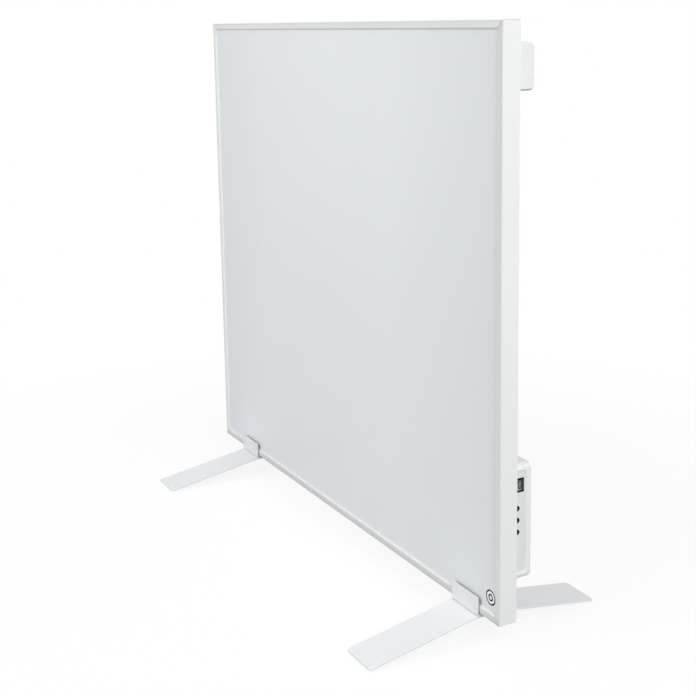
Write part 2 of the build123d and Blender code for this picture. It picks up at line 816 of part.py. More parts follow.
stem_bottom_x = switch_top_x - stem_engagement
socket_depth = stem_engagement + button_travel + press_clearance
for button_name, button_point in button_points.items():
    with BuildPart() as key_switch:
        with BuildSketch(sideways(board_x)):
            with Locations(button_point):
                Rectangle(switch_size, switch_size)
        extrude(amount=switch_height)
        with BuildSketch(sideways(switch_top_x)):
            with Locations(button_point):
                Circle(stem_radius + button_fit)
        extrude(amount=-socket_depth, mode=Mode.SUBTRACT)
    key_switch.part.label = f"key_switch_{button_name}"
    export_step(key_switch.part, f"parts/key_switch_{button_name}.step")

    with BuildPart() as push_button:
        with BuildSketch(sideways(stem_bottom_x)):
            with Locations(button_point):
                Circle(stem_radius)
        extrude(amount=collar_x - stem_bottom_x)
        with BuildSketch(sideways(collar_x - collar_thickness)):
            with Locations(button_point):
                Circle(collar_radius)
        extrude(amount=collar_thickness)
        with BuildSketch(sideways(collar_x)):
            with Locations(button_point):
                Circle(button_radius)
        extrude(amount=fascia_x + button_proud - collar_x)
        fillet(push_button.edges().sort_by(Axis.X)[-1], radius=button_proud / 2)
    push_button.part.label = f"button_{button_name}"
    export_step(push_button.part, f"parts/button_{button_name}.step")

# ---- Power electronics ----------------------------------------------------------------------

with BuildPart() as power_board:
    with BuildSketch(upright(board_rear)):
        with Locations(board_mid):
            Rectangle(board_width, board_height)
        with Locations(*standoff_points):
            Circle(small_shank + hole_clearance, mode=Mode.SUBTRACT)
    extrude(amount=circuit_board)
power_board.part.label = "power_board"
export_step(power_board.part, "parts/power_board.step")

part_row = board_height / 2 - standoff_inset
part_column = board_width / 2 - standoff_inset
relay_point = (board_mid[0] - part_column / 2, board_mid[1] + part_row / 2)
relay = slab(upright(board_rear + relay_height), relay_point, relay_width, relay_length, relay_height)
relay.part.label = "relay"
export_step(relay.part, "parts/relay.step")

transformer_point = (board_mid[0] + part_column / 2, board_mid[1] + part_row / 2)
transformer = slab(upright(board_rear + transformer_height), transformer_point, transformer_length,
                   transformer_width, transformer_height)
transformer.part.label = "transformer"
export_step(transformer.part, "parts/transformer.step")

capacitor_point = (board_mid[0], board_mid[1] - part_row / 2)
capacitor = slab(upright(board_rear + capacitor_height), capacitor_point, capacitor_width,
                 capacitor_length, capacitor_height)
capacitor.part.label = "capacitor"
export_step(capacitor.part, "parts/capacitor.step")

with BuildPart() as terminal_block:
    with BuildSketch(upright(base_rear)):
        with Locations((lead_x, lead_z)):
            Rectangle(terminal_width, terminal_height)
    extrude(amount=-terminal_depth)
    with BuildSketch(upright(base_rear)):
        with Locations(*[(x, lead_z) for x in lead_xs.values()]):
            Circle(lead_radius + thread_clearance)
    extrude(amount=-lead_engagement, mode=Mode.SUBTRACT)
terminal_block.part.label = "terminal_block"
export_step(terminal_block.part, "parts/terminal_block.step")

for side, x in lead_xs.items():
    with BuildPart() as film_lead:
        with BuildSketch(upright(base_rear + lead_engagement)):
            with Locations((x, lead_z)):
                Circle(lead_radius)
        extrude(amount=base_rear + lead_engagement - busbar_back_y)
    film_lead.part.label = f"film_lead_{side}"
    export_step(film_lead.part, f"parts/film_lead_{side}.step")

with BuildPart() as lead_grommet:
    with BuildSketch(upright(back_y)):
        with Locations((lead_x, lead_z)):
            Circle(grommet_neck_radius)
    extrude(amount=back_sheet)
    for flange_y in (back_y + grommet_flange, back_y - back_sheet):
        with BuildSketch(upright(flange_y)):
            with Locations((lead_x, lead_z)):
                Circle(grommet_flange_radius)
        extrude(amount=grommet_flange)
    with BuildSketch(upright(back_y + grommet_flange)):
        with Locations((lead_x, lead_z)):
            Circle(grommet_bore_radius)
    extrude(amount=back_sheet + 2 * grommet_flange, mode=Mode.SUBTRACT)
lead_grommet.part.label = "lead_grommet"
export_step(lead_grommet.part, "parts/lead_grommet.step")

# ---- Cable gland ----------------------------------------------------------------------------

gland_mouth = box_bottom - gland_flange_height - gland_dome_length
with BuildPart() as cable_gland:
    with BuildSketch(level(box_bottom)):
        with Locations((gland_x, gland_y)):
            RegularPolygon(gland_flange_radius, 6)
    extrude(amount=-gland_flange_height)
    with BuildSketch(level(box_bottom - gland_flange_height)):
        with Locations((gland_x, gland_y)):
            Circle(gland_thread_radius + gland_fit)
    extrude(amount=-gland_dome_length)
    fillet(cable_gland.edges().sort_by(Axis.Z)[0], radius=gland_thread_radius / 3)
    with BuildSketch(level(box_bottom)):
        with Locations((gland_x, gland_y)):
            Circle(gland_thread_radius)
    extrude(amount=gland_inner_length)
    with BuildSketch(level(gland_mouth)):
        with Locations((gland_x, gland_y)):
            Circle(gland_bore_radius)
    extrude(amount=gland_flange_height + gland_dome_length + gland_inner_length, mode=Mode.SUBTRACT)
cable_gland.part.label = "cable_gland"
export_step(cable_gland.part, "parts/cable_gland.step")

with BuildPart() as gland_nut:
    with BuildSketch(level(box_bottom + box_wall)):
        with Locations((gland_x, gland_y)):
            RegularPolygon(gland_flange_radius, 6)
            Circle(gland_thread_radius + thread_clearance, mode=Mode.SUBTRACT)
    extrude(amount=gland_nut_height)
gland_nut.part.label = "gland_nut"
export_step(gland_nut.part, "parts/gland_nut.step")

# ---- Wall hangers ---------------------------------------------------------------------------

keyhole_z = hanger_mid_z - keyhole_drop
hanger_length = wall_y - back_y
for side, sx in (("left", -1), ("right", 1)):
    boss_points = [(sx * hanger_x + step, hanger_mid_z) for step in spread(hanger_boss_pitch, 2)]
    with BuildPart() as hanger:
        with BuildSketch(sideways(sx * hanger_x)) as hanger_section:
            with Locations(((back_y + wall_y) / 2, hanger_mid_z)):
                Rectangle(hanger_length, hanger_height)
            fillet(hanger_section.vertices().group_by(Axis.X)[-1], radius=hanger_radius)
        extrude(amount=hanger_width / 2, both=True)
        end_edges = hanger.faces().filter_by(Axis.X).edges()
        fillet(end_edges.filter_by(lambda edge: edge.center().Y > back_y + hanger_wall),
               radius=hanger_edge_radius)
        with BuildSketch(upright(wall_y - hanger_wall)):
            with Locations((sx * hanger_x, hanger_mid_z)):
                Rectangle(hanger_width - 2 * hanger_wall, hanger_height - 2 * hanger_wall)
        extrude(amount=hanger_length - hanger_wall, mode=Mode.SUBTRACT)
        with BuildSketch(upright(wall_y - hanger_wall)):
            with Locations(*boss_points):
                Circle(hanger_boss_radius)
        extrude(amount=hanger_length - hanger_wall)
        with BuildSketch(upright(back_y)):
            with Locations(*boss_points):
                Circle(medium_shank + thread_clearance)
        extrude(amount=-hanger_boss_depth, mode=Mode.SUBTRACT)
        with BuildSketch(upright(wall_y)):
            with Locations((sx * hanger_x, keyhole_z)):
                Circle(keyhole_head_radius)
            with Locations((sx * hanger_x, keyhole_z + keyhole_rise / 2)):
                Rectangle(2 * keyhole_slot_radius, keyhole_rise)
            with Locations((sx * hanger_x, keyhole_z + keyhole_rise)):
                Circle(keyhole_slot_radius)
        extrude(amount=hanger_wall, mode=Mode.SUBTRACT)
    hanger.part.label = f"hanger_{side}"
    export_step(hanger.part, f"parts/hanger_{side}.step")

hanger_screws = screws(upright(back_y - back_sheet), hanger_screw_points, flat_head, medium_shank,
                       back_sheet + hanger_boss_depth - thread_clearance)
hanger_screws.part.label = "hanger_screws"
export_step(hanger_screws.part, "parts/hanger_screws.step")
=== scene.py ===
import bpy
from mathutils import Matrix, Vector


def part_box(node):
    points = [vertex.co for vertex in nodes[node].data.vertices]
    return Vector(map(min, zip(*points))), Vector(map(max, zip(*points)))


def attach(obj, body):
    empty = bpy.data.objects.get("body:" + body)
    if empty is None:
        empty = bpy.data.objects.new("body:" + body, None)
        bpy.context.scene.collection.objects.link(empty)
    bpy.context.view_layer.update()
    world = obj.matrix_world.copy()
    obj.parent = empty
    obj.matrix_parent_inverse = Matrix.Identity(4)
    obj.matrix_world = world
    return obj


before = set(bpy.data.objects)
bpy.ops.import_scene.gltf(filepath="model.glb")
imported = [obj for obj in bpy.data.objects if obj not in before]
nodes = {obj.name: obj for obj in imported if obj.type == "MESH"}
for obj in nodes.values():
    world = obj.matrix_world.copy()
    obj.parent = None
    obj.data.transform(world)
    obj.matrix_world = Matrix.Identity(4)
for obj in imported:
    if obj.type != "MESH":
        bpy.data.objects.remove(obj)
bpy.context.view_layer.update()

from math import pi, radians

import bmesh
import bpy
from mathutils import Matrix, Vector

scene = bpy.context.scene
print("frame loaded:", len(nodes), "nodes")

# The view: place and clipping in metres, angles in degrees, lens and sensor in millimetres
cameraSet = {
    "place": (1.275, -0.6681, 0.6219),
    "turn": 58.933,
    "tilt": 9.8317,
    "roll": -0.4377,
    "lens": 62.787,
    "sensor": 36.0,
    "shift": (-0.09, -0.16),
    "clip": (0.05, 200.0),
}


def makeCamera(opts):
    data = bpy.data.cameras.new("view")
    data.sensor_width = opts["sensor"]
    data.lens = opts["lens"]
    data.shift_x, data.shift_y = opts["shift"]
    data.clip_start, data.clip_end = opts["clip"]
    camera = bpy.data.objects.new("view", data)
    scene.collection.objects.link(camera)
    turned = Matrix.Rotation(radians(opts["turn"]), 4, "Z")
    tilted = Matrix.Rotation(radians(90 - opts["tilt"]), 4, "X")
    rolled = Matrix.Rotation(radians(opts["roll"]), 4, "Z")
    camera.matrix_world = Matrix.Translation(opts["place"]) @ turned @ tilted @ rolled
    scene.camera = camera


makeCamera(cameraSet)


def rgb(red, green, blue):
    return (red, green, blue, 1.0)


def tint(colour, share):
    return rgb(*[min(1.0, channel * share) for channel in colour])


black, white = rgb(0, 0, 0), rgb(1, 1, 1)


class Wire:
    # An output of a node: an expression on it adds the Math nodes that work it out
    def __init__(self, finish, socket):
        self.finish = finish
        self.socket = socket

    def maths(self, operation, first, second=0.0):
        return self.finish.add("ShaderNodeMath", {"operation": operation}, {0: first, 1: second})

    def __add__(self, other):
        return self.maths("ADD", self, other)

    __radd__ = __add__

    def __mul__(self, other):
        return self.maths("MULTIPLY", self, other)

    __rmul__ = __mul__

    def __sub__(self, other):
        return self.maths("SUBTRACT", self, other)

    def __rsub__(self, other):
        return self.maths("SUBTRACT", other, self)

    def __gt__(self, other):
        return self.maths("GREATER_THAN", self, other)

    def __lt__(self, other):
        return self.maths("LESS_THAN", self, other)

    def least(self, other):
        return self.maths("MINIMUM", self, other)

    def sine(self):
        return self.maths("SINE", self)

    def size(self):
        return self.maths("ABSOLUTE", self)


class Finish:
    # A material, or the world, whose nodes are added one by one
    def __init__(self, name, owner=None):
        self.owner = owner or bpy.data.materials.new(name)
        self.owner.use_nodes = True
        self.tree = self.owner.node_tree
        self.tree.nodes.clear()
        self.place = self.add("ShaderNodeTexCoord", output="Object")

    def add(self, kind, settings=None, sockets=None, output=0):
        node = self.tree.nodes.new(kind)
        for name, value in (settings or {}).items():
            setattr(node, name, value)
        for name, value in (sockets or {}).items():
            if isinstance(value, Wire):
                self.tree.links.new(value.socket, node.inputs[name])
            else:
                node.inputs[name].default_value = value
        return Wire(self, node.outputs[output] if node.outputs else None)

    def noise(self, scale, detail=2.0, roughness=0.5, distortion=0.0, place=None):
        return self.add("ShaderNodeTexNoise", {}, {
            "Vector": place or self.place, "Scale": scale, "Detail": detail,
            "Roughness": roughness, "Distortion": distortion})

    def cells(self, scale, feature):
        return self.add("ShaderNodeTexVoronoi", {"feature": feature},
                        {"Vector": self.place, "Scale": scale}, "Distance")

    def spread(self, value, low, high, outLow=0.0, outHigh=1.0):
        # The value's range from low to high, brought to another range
        return self.add("ShaderNodeMapRange", {"clamp": True}, {
            "Value": value, "From Min": low, "From Max": high, "To Min": outLow, "To Max": outHigh})

    def mix(self, share, first, second):
        # A Mix node for colours: its share is socket 0, its colours are 6 and 7, its result is output 2
        return self.add("ShaderNodeMix", {"data_type": "RGBA"}, {0: share, 6: first, 7: second}, 2)

    def clouded(self, pattern, colour, less, more, span=(0.35, 0.65)):
        # A colour that goes from one share of itself to another, over a span of the pattern
        return self.mix(self.spread(pattern, *span), tint(colour, less), tint(colour, more))

    def rough(self, pattern, middle, less, more, span=(0.3, 0.7)):
        # A roughness that follows the pattern, from a little less than its middle value to a little more
        return self.spread(pattern, *span, middle - less, middle + more)

    def stretched(self, scale, rotation=(0, 0, 0)):
        return self.add("ShaderNodeMapping", {}, {
            "Vector": self.place, "Rotation": rotation, "Scale": scale})

    def axes(self):
        return [self.add("ShaderNodeSeparateXYZ", {}, {"Vector": self.place}, axis) for axis in "XYZ"]

    def bump(self, height, depth):
        return self.add("ShaderNodeBump", {}, {"Height": height, "Distance": depth, "Strength": 1.0})

    def close(self, colour, **surface):
        spelt = {"roughness": "Roughness", "metallic": "Metallic", "normal": "Normal",
                 "subsurface": "Subsurface Weight", "specular": "Specular IOR Level"}
        sockets = {"Base Color": colour}
        sockets.update({spelt[name]: value for name, value in surface.items()})
        shader = self.add("ShaderNodeBsdfPrincipled", {}, sockets)
        self.add("ShaderNodeOutputMaterial", {}, {"Surface": shader})
        return self.owner


# Stage: a pale floor that keeps the shadow, white all round for the camera, soft light on the object
stageSet = {
    "floorRadius": 40.0,
    "floorSides": 96,
    "floorDrop": 0.0001,
    "floorSeen": (1.0, 1.0, 1.0),
    "floorBounce": (0.25, 0.25, 0.25),
    "shadowShare": 0.13,
    "whiteFrom": 0.35,
    "whiteTo": 0.9,
    "ambient": 0.34,
}

# Each lamp: place and aim in metres, size of its square, power in watts
lampSet = {
    "sideLamp": {"place": (2.3, -0.3, 1.7), "aim": (0.3, 0, 0.45), "size": 1.2, "power": 27.0},
    "lowSideLamp": {"place": (2.6, -0.4, 0.8), "aim": (0.3, 0, 0.35), "size": 1.4, "power": 21.0},
    "frontLamp": {"place": (-0.6, -2.3, 2.3), "aim": (0, 0, 0.4), "size": 1.6, "power": 22.0},
    "lowFrontLamp": {"place": (-0.2, -2.8, 1.0), "aim": (0, 0, 0.35), "size": 1.8, "power": 19.5},
    "lowCornerLamp": {"place": (0.9, -2.7, 0.9), "aim": (0.1, 0, 0.35), "size": 1.6, "power": 9.0},
    "leftLamp": {"place": (-2.5, 1.0, 0.25), "aim": (-0.2, 0, 0.35), "size": 0.48, "power": 8.0},
    "rearLamp": {"place": (-0.3, 2.5, 0.33), "aim": (0, 0, 0.3), "size": 0.64, "power": 22.5},
}


def seenDirectly(finish):
    # 1 for what the camera sees, straight on or through gloss and glass
    path = [finish.add("ShaderNodeLightPath", output=name)
            for name in ("Is Camera Ray", "Is Glossy Ray", "Is Transmission Ray")]
    return finish.add("ShaderNodeMath", {"operation": "ADD", "use_clamp": True},
                      {0: path[0] + path[1], 1: path[2]})


def floorFinish(opts):
    # Matt near the object, where the shadow falls, and plain white further out
    finish = Finish("paleFloor")
    seen = seenDirectly(finish)
    colour = finish.mix(seen, rgb(*opts["floorBounce"]), rgb(*opts["floorSeen"]))
    matt = finish.add("ShaderNodeBsdfDiffuse", {}, {"Color": colour})
    plain = finish.add("ShaderNodeEmission", {}, {"Color": white, "Strength": 1.0})
    distance = finish.add("ShaderNodeVectorMath", {"operation": "LENGTH"}, {0: finish.place}, "Value")
    share = finish.spread(distance, opts["whiteFrom"], opts["whiteTo"], 1 - opts["shadowShare"])
    both = finish.add("ShaderNodeMixShader", {}, {0: share * seen, 1: matt, 2: plain})
    finish.add("ShaderNodeOutputMaterial", {}, {"Surface": both})
    return finish.owner


def makeFloor(opts):
    flat = bmesh.new()
    bmesh.ops.create_circle(flat, cap_ends=True, segments=opts["floorSides"], radius=opts["floorRadius"])
    mesh = bpy.data.meshes.new("floor")
    flat.to_mesh(mesh)
    flat.free()
    floor = bpy.data.objects.new("floor", mesh)
    scene.collection.objects.link(floor)
    floor.location.z = -opts["floorDrop"]
    mesh.materials.append(floorFinish(opts))


def makeSky(opts):
    scene.world = bpy.data.worlds.new("studio")
    finish = Finish("studio", scene.world)
    level = seenDirectly(finish) * (1 - opts["ambient"]) + opts["ambient"]
    light = finish.add("ShaderNodeBackground", {}, {"Color": white, "Strength": level})
    finish.add("ShaderNodeOutputWorld", {}, {"Surface": light})


def makeLamps(lamps):
    for name, opts in lamps.items():
        data = bpy.data.lights.new(name, "AREA")
        data.size = opts["size"]
        data.energy = opts["power"]
        lamp = bpy.data.objects.new(name, data)
        scene.collection.objects.link(lamp)
        lamp.location = opts["place"]
        towards = Vector(opts["aim"]) - Vector(opts["place"])
        lamp.rotation_euler = towards.to_track_quat("-Z", "Y").to_euler()


makeFloor(stageSet)
makeSky(stageSet)
makeLamps(lampSet)
scene.view_settings.view_transform = "Standard"
print("stage and lamps ready")


def wear(material, *names):
    # The material goes onto CAD nodes by name, in place of what they came with
    for name in names:
        mesh = nodes[name].data
        mesh.materials.clear()
        mesh.materials.append(material)


# White powder coat: colour, grains to the metre, depth of the grain, roughness
coatSet = {
    "frame": {"colour": (0.80, 0.815, 0.81), "grain": 1300, "depth": 0.00002, "roughness": 0.40},
    "foot": {"colour": (0.79, 0.812, 0.826), "grain": 1100, "depth": 0.00003, "roughness": 0.45},
    # The saddles wear the feet's coat darkened by about a twentieth: painted shade on the tabs
    "saddle": {"colour": (0.745, 0.77, 0.782), "grain": 1100, "depth": 0.00003, "roughness": 0.45},
    "back": {"colour": (0.82, 0.83, 0.83), "grain": 900, "depth": 0.00004, "roughness": 0.50, "drift": 0.02},
}

# What every coat has: clouds to the metre, drift of colour and roughness, and dust finer than its grain
powderSet = {"clouds": 7, "drift": 0.012, "swing": 0.05, "dustFiner": 5, "peelShare": 0.8}

# Painted shade on the front lips, in shares of black: round the outer edge, along the bottom, towards the
# right end of the top, and up the right lip from its low end to its high end
lipPaintedShadeSet = {
    "lip": 0.0085,
    "depth": 0.0008,
    "reach": 0.004,
    "edge": 0.07,
    "bottomReach": 0.017,
    "bottom": 0.18,
    "topRight": 0.03,
    "rightLow": 0.06,
    "rightHigh": 0.15,
}


# Painted shade: a share of black on the front lips, by position, darker at the outer edge, low on the bottom
# lip, at the top's right end and up the right lip
def paintedLipShade(finish, opts):
    low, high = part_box("frame_left")[0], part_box("frame_right")[1]
    across, along, up = finish.axes()
    fromSide = high.x - across.size()
    fromBottom = up - low.z
    fromEnd = (high.z - up).least(fromBottom)
    rim = finish.spread(fromSide.least(fromEnd), 0.0, opts["reach"], opts["edge"], 0.0)
    right = (across > high.x - opts["lip"]) * (fromEnd > fromSide)
    rightShade = finish.spread(up, low.z, high.z, opts["rightLow"], opts["rightHigh"])
    bottomShade = finish.spread(up, low.z, low.z + opts["bottomReach"], opts["bottom"], 0.0)
    topShade = finish.spread(across, low.x, high.x, 0.0, opts["topRight"])
    top = up > high.z - opts["lip"]
    shade = rim + right * rightShade + (fromSide > fromBottom) * bottomShade + top * topShade
    return (along < low.y + opts["depth"]) * shade


def powderCoat(name, opts, shade=None):
    finish = Finish(name)
    shared = powderSet
    drift = opts.get("drift", shared["drift"])
    peel = finish.noise(opts["grain"], detail=3.0, roughness=0.55)
    dust = finish.noise(opts["grain"] * shared["dustFiner"], detail=1.0)
    colour = finish.clouded(finish.noise(shared["clouds"]), opts["colour"], 1 - drift, 1 + drift)
    # Where a shade is given, painted shade darkens the colour towards black
    if shade:
        colour = finish.mix(shade(finish, lipPaintedShadeSet), colour, black)
    roughness = finish.rough(peel, opts["roughness"], shared["swing"], shared["swing"])
    skin = finish.bump(peel * shared["peelShare"] + dust * (1 - shared["peelShare"]), opts["depth"])
    return finish.close(colour, roughness=roughness, normal=skin)


wear(powderCoat("frameCoat", coatSet["frame"], paintedLipShade),
     "frame_top", "frame_bottom", "frame_left", "frame_right")
wear(powderCoat("footCoat", coatSet["foot"]), "foot_leg_left", "foot_leg_right")
wear(powderCoat("saddlePaintedShadeCoat", coatSet["saddle"]), "foot_saddle_left", "foot_saddle_right")
wear(powderCoat("backCoat", coatSet["back"]), "back_panel")

# The radiating face: a smooth, faintly blue satin enamel. A painted highlight makes it palest round one
# point, and painted shade darkens it a little away from there and towards the two sides
faceSet = {
    "colour": (0.845, 0.885, 0.915),
    "drift": 0.006,
    "clouds": 5,
    "ripples": 60,
    "grain": 1200,
    "rippleShare": 0.7,
    "depth": 0.00001,
    "roughness": 0.33,
    "swing": 0.03,
    "paintedHighlight": (-0.03, 0.0, 0.62),
    "poolReach": 0.42,
    "poolShade": 0.05,
    "sideFrom": 0.17,
    "sideTo": 0.37,
    "sideShade": 0.07,
}


def satinEnamel(opts):
    finish = Finish("faceEnamel")
    clouds = finish.noise(opts["clouds"], detail=3.0, roughness=0.6)
    ripples = finish.noise(opts["ripples"])
    grain = finish.noise(opts["grain"])
    even = finish.clouded(clouds, opts["colour"], 1 - opts["drift"], 1 + opts["drift"], (0.3, 0.7))
    # Painted highlight and painted shade: darker with distance from the highlight's centre and towards the
    # two sides
    away = finish.add("ShaderNodeVectorMath", {"operation": "DISTANCE"},
                      {0: finish.place, 1: opts["paintedHighlight"]}, "Value")
    aside = (finish.axes()[0] - opts["paintedHighlight"][0]).size()
    shade = (finish.spread(away, 0.0, opts["poolReach"], 0.0, opts["poolShade"])
             + finish.spread(aside, opts["sideFrom"], opts["sideTo"], 0.0, opts["sideShade"]))
    roughness = finish.rough(grain, opts["roughness"], opts["swing"], opts["swing"])
    skin = finish.bump(ripples * opts["rippleShare"] + grain * (1 - opts["rippleShare"]), opts["depth"])
    return finish.close(finish.mix(shade, even, black), roughness=roughness, normal=skin)


wear(satinEnamel(faceSet), "front_panel")

# Moulded plastics: colour, sparks to the metre and their depth, roughness
plasticSet = {
    "box": {"colour": (0.81, 0.82, 0.825), "sparks": 1700, "depth": 0.00002, "roughness": 0.42},
    "fascia": {"colour": (0.715, 0.73, 0.735), "sparks": 2400, "depth": 0.00001, "roughness": 0.55},
    # The hanger's under entry is painted shade on its underside: how far up it reaches and its share of
    # black
    "hanger": {"colour": (0.765, 0.775, 0.78), "sparks": 1700, "depth": 0.00002, "roughness": 0.42,
               "under": {"reach": 0.0022, "share": 0.85}},
    "gland": {"colour": (0.70, 0.71, 0.715), "sparks": 1500, "depth": 0.00002, "roughness": 0.45},
    "button": {"colour": (0.003, 0.003, 0.0035), "sparks": 3500, "depth": 0.00001, "roughness": 0.38,
               "specular": 0.10},
    "component": {"colour": (0.03, 0.03, 0.034), "sparks": 2600, "depth": 0.00002, "roughness": 0.5},
    "terminal": {"colour": (0.32, 0.34, 0.35), "sparks": 2600, "depth": 0.00002, "roughness": 0.5},
    "capacitor": {"colour": (0.62, 0.45, 0.05), "sparks": 2600, "depth": 0.00001, "roughness": 0.4},
    "relay": {"colour": (0.02, 0.10, 0.32), "sparks": 2600, "depth": 0.00001, "roughness": 0.42},
}

# What every plastic has: flow clouds to the metre, drift of colour and roughness, mist coarser than sparks
mouldSet = {"flow": 22, "swirl": 0.4, "drift": 0.015, "swing": 0.05, "mistCoarser": 0.6, "sparkShare": 0.6}


def paintedUnderShade(finish, opts):
    # Painted shade on the underside of a hanger, as if in the panel's shade, seen as a thin dark line
    up = finish.axes()[2]
    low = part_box("hanger_right")[0].z
    return finish.spread(up, low, low + opts["reach"], opts["share"], 0.0)


def mouldedPlastic(name, opts):
    finish = Finish(name)
    shared = mouldSet
    sparks = finish.cells(opts["sparks"], "SMOOTH_F1")
    mist = finish.noise(opts["sparks"] * shared["mistCoarser"])
    flow = finish.noise(shared["flow"], distortion=shared["swirl"])
    colour = finish.clouded(flow, opts["colour"], 1 - shared["drift"], 1 + shared["drift"])
    # Painted shade along the underside
    if "under" in opts:
        colour = finish.mix(paintedUnderShade(finish, opts["under"]), colour, black)
    roughness = finish.rough(mist, opts["roughness"], shared["swing"], shared["swing"])
    skin = finish.bump(sparks * shared["sparkShare"] + mist * (1 - shared["sparkShare"]), opts["depth"])
    return finish.close(colour, roughness=roughness, normal=skin, specular=opts.get("specular", 0.5))


plasticNodes = {
    "box": ["box_cover", "box_base"],
    "fascia": ["control_fascia"],
    "hanger": ["hanger_left", "hanger_right"],
    "gland": ["cable_gland", "gland_nut"],
    "button": ["button_power", "button_plus", "button_minus"],
    "component": ["display_module", "infrared_receiver", "thermal_cutout", "temperature_sensor",
                  "transformer", "key_switch_power", "key_switch_plus", "key_switch_minus"],
    "terminal": ["terminal_block"],
    "capacitor": ["capacitor"],
    "relay": ["relay"],
}
for piece, names in plasticNodes.items():
    wear(mouldedPlastic(piece + "Plastic", plasticSet[piece]), *names)

print("painted and moulded finishes done")

# The display: a black border round a grey-green field, with painted shade of the bezel making it darker at
# its two sides
paneSet = {
    "border": (0.002, 0.002, 0.0025),
    "field": (0.34, 0.36, 0.33),
    "side": (0.10, 0.11, 0.10),
    "inset": 0.0019,
    "bezelShadeReach": 0.0065,
    "smears": 500,
    "roughness": 0.25,
    "swing": 0.05,
    "specular": 0.06,
}


def displayPane(opts):
    finish = Finish("displayPane")
    low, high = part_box("display_window")
    middle, half = (low + high) / 2, (high - low) / 2
    across, along, up = finish.axes()
    fromSide = half.y - (along - middle.y).size()
    fromEnd = half.z - (up - middle.z).size()
    # Painted shade: the field darkens towards its two sides
    field = finish.mix(finish.spread(fromSide, opts["inset"], opts["bezelShadeReach"]),
                       rgb(*opts["side"]), rgb(*opts["field"]))
    colour = finish.mix(fromSide.least(fromEnd) > opts["inset"], rgb(*opts["border"]), field)
    roughness = finish.rough(finish.noise(opts["smears"]), opts["roughness"], opts["swing"], opts["swing"])
    return finish.close(colour, roughness=roughness, specular=opts["specular"])


wear(displayPane(paneSet), "display_window")


def join(name, mesh, material, body):
    # A finished bmesh becomes a piece of the object
    bmesh.ops.recalc_face_normals(mesh, faces=mesh.faces[:])
    data = bpy.data.meshes.new(name)
    mesh.to_mesh(data)
    mesh.free()
    data.materials.append(material)
    piece = bpy.data.objects.new(name, data)
    scene.collection.objects.link(piece)
    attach(piece, body)


# The readout: two digits of seven thin bars on the display, with sizes in metres
readoutSet = {
    "digits": "20",
    "above": 0.001,
    "pitch": 0.0050,
    "width": 0.0032,
    "height": 0.0088,
    "stroke": 0.0014,
    "gap": 0.0002,
    "proud": 0.00006,
    "tipShare": 0.42,
    "ink": {"colour": (0.012, 0.013, 0.012), "sparks": 5000, "depth": 0.000004, "roughness": 0.5,
            "specular": 0.1},
}

# Where each bar lies in a digit, in half widths and half heights, and whether it stands upright
barPlaces = {
    "top": (0, 1, False), "middle": (0, 0, False), "bottom": (0, -1, False),
    "highLeft": (-1, 0.5, True), "highRight": (1, 0.5, True),
    "lowLeft": (-1, -0.5, True), "lowRight": (1, -0.5, True),
}
digitBars = {
    "0": ("top", "highLeft", "highRight", "lowLeft", "lowRight", "bottom"),
    "2": ("top", "highRight", "middle", "lowLeft", "bottom"),
}


def addBar(mesh, opts, bar, front, middle, up):
    aside, above, upright = barPlaces[bar]
    long = (opts["height"] / 2 if upright else opts["width"]) - opts["gap"]
    size = (opts["stroke"], long) if upright else (long, opts["stroke"])
    place = (front + opts["proud"] / 2, middle + aside * opts["width"] / 2, up + above * opts["height"] / 2)
    corners = bmesh.ops.create_cube(mesh, size=1.0)["verts"]
    bmesh.ops.scale(mesh, vec=(opts["proud"], *size), verts=corners)
    bmesh.ops.translate(mesh, vec=place, verts=corners)


def makeReadout(opts):
    low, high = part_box("display_window")
    along, up = (low.y + high.y) / 2, (low.z + high.z) / 2 + opts["above"]
    mesh = bmesh.new()
    for index, digit in enumerate(opts["digits"]):
        middle = along + (index - (len(opts["digits"]) - 1) / 2) * opts["pitch"]
        for bar in digitBars[digit]:
            addBar(mesh, opts, bar, high.x, middle, up)
    tips = [edge for edge in mesh.edges
            if abs(edge.verts[0].co.x - edge.verts[1].co.x) > opts["proud"] / 2]
    bmesh.ops.bevel(mesh, geom=tips, offset=opts["stroke"] * opts["tipShare"], segments=1, profile=0.5,
                    affect="EDGES", material=-1)
    join("displayReadout", mesh, mouldedPlastic("readoutInk", opts["ink"]), "heater")


makeReadout(readoutSet)

# The small printed mark on the face: a white disc with black rings, sizes in metres
markSet = {
    "centre": (0.3316, 0.0513),
    "disc": 0.0088,
    "discProud": 0.00004,
    "rings": ((0.0066, 0.0083), (0.0022, 0.0040)),
    "ringProud": 0.00003,
    "steps": 72,
    "merge": 0.000001,
    "white": {"colour": (0.96, 0.97, 0.97), "sparks": 4000, "depth": 0.000004, "roughness": 0.4},
    "black": {"colour": (0.002, 0.002, 0.0025), "sparks": 4000, "depth": 0.000004, "roughness": 0.5,
              "specular": 0.04},
}


def spunRing(mesh, opts, inner, outer, back, front):
    # A flat ring, or a disc where it has no inner radius, spun round the mark's centre
    across, up = opts["centre"]
    radii = ((inner, back), (outer, back), (outer, front), (inner, front))
    corners = [mesh.verts.new((across + radius, along, up)) for radius, along in radii]
    edges = [mesh.edges.new((corners[n], corners[(n + 1) % 4])) for n in range(4)]
    bmesh.ops.spin(mesh, geom=corners + edges, cent=(across, 0, up), axis=(0, 1, 0), dvec=(0, 0, 0),
                   angle=2 * pi, steps=opts["steps"], use_merge=True, use_duplicate=False)


def printLayer(name, opts, rings, back, front, material):
    mesh = bmesh.new()
    for inner, outer in rings:
        spunRing(mesh, opts, inner, outer, back, front)
    bmesh.ops.remove_doubles(mesh, verts=mesh.verts[:], dist=opts["merge"])
    join(name, mesh, material, "heater")


